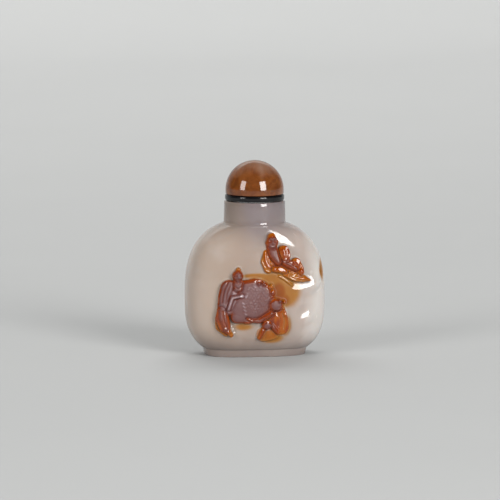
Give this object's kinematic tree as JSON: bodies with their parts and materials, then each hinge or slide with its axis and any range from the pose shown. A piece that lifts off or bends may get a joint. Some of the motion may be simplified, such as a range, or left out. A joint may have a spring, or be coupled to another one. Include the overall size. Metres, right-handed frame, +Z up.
{
  "type": "snuff bottle",
  "caption": "Small flattened agate bottle with figures carved on the front, an oval foot, a round neck and a domed stopper on a cork.",
  "frame": {"origin": "centre of the foot's flat underside", "axes": "+Z up along the neck, +X across the width to the right of the carved front, and the carved front faces -Y"},
  "size_m": [0.0444, 0.0295, 0.062],
  "materials": {
    "grey_agate": "polished, slightly translucent, with orange-brown and mauve layers in the carved front",
    "brown_agate": "polished, with faint mauve veils",
    "black_collar": "polished black",
    "cork": "plain cork"
  },
  "bodies": {
    "root": {"bottle": "grey_agate", "stopper_cap": "brown_agate", "stopper_collar": "black_collar", "stopper_cork": "cork"}
  },
  "joints": []
}
